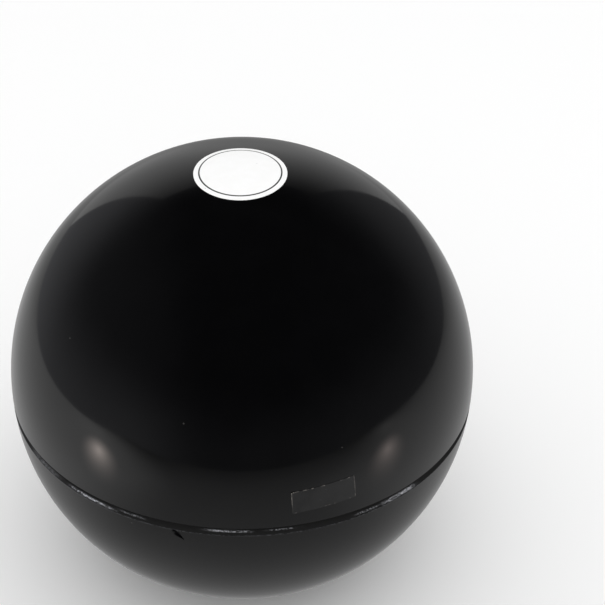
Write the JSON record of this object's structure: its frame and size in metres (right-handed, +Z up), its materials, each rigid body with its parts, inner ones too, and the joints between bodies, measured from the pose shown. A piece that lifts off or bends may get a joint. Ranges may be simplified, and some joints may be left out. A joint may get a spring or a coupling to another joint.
{
  "type": "answer ball",
  "caption": "Hollow glossy black answer ball with a seam round its middle, a recessed window in its flat foot and a twenty-sided die floating in dark dye.",
  "frame": {"origin": "on the ball's axis, in the plane of the foot ring that it stands on", "axes": "+Z up along the ball's axis from the window to the printed crown; -Y is the front, towards the viewer; +X to the viewer's right"},
  "size_m": [0.1, 0.1, 0.0943],
  "materials": {
    "shell_black": "polished",
    "bezel_black": "gloss",
    "lens_clear": "polished",
    "rubber_grey": "matte",
    "vessel_plastic": "satin",
    "funnel_plastic": "satin",
    "dye_blue": "polished",
    "die_white": "satin",
    "ink_white": "satin",
    "label_film": "gloss"
  },
  "bodies": {
    "ball": {"upper_shell": "shell_black", "lower_shell": "shell_black", "window_bezel": "bezel_black", "window_lens": "lens_clear", "lens_gasket": "rubber_grey", "reservoir": "vessel_plastic", "fill_plug": "rubber_grey", "bubble_funnel": "funnel_plastic", "print_disc": "ink_white", "clear_label": "label_film"},
    "liquid": {"dyed_liquid": "dye_blue"},
    "die_core": {"die_fill_liquid": "dye_blue"},
    "die": {"die_front_half": "die_white", "die_back_half": "die_white"}
  },
  "joints": [
    {"name": "liquid_swirl", "type": "hinge", "parent": "ball", "child": "liquid", "pos_m": [0, 0, 0.022], "axis": [0, 0, 1], "continuous": true},
    {"name": "die_rise", "type": "slide", "parent": "liquid", "child": "die_core", "axis": [0, 0, 1], "range_m": [0, 0.016]},
    {"name": "die_tumble", "type": "hinge", "parent": "die_core", "child": "die", "pos_m": [0, 0, 0.02199], "axis": [1, 0, 0], "continuous": true}
  ]
}
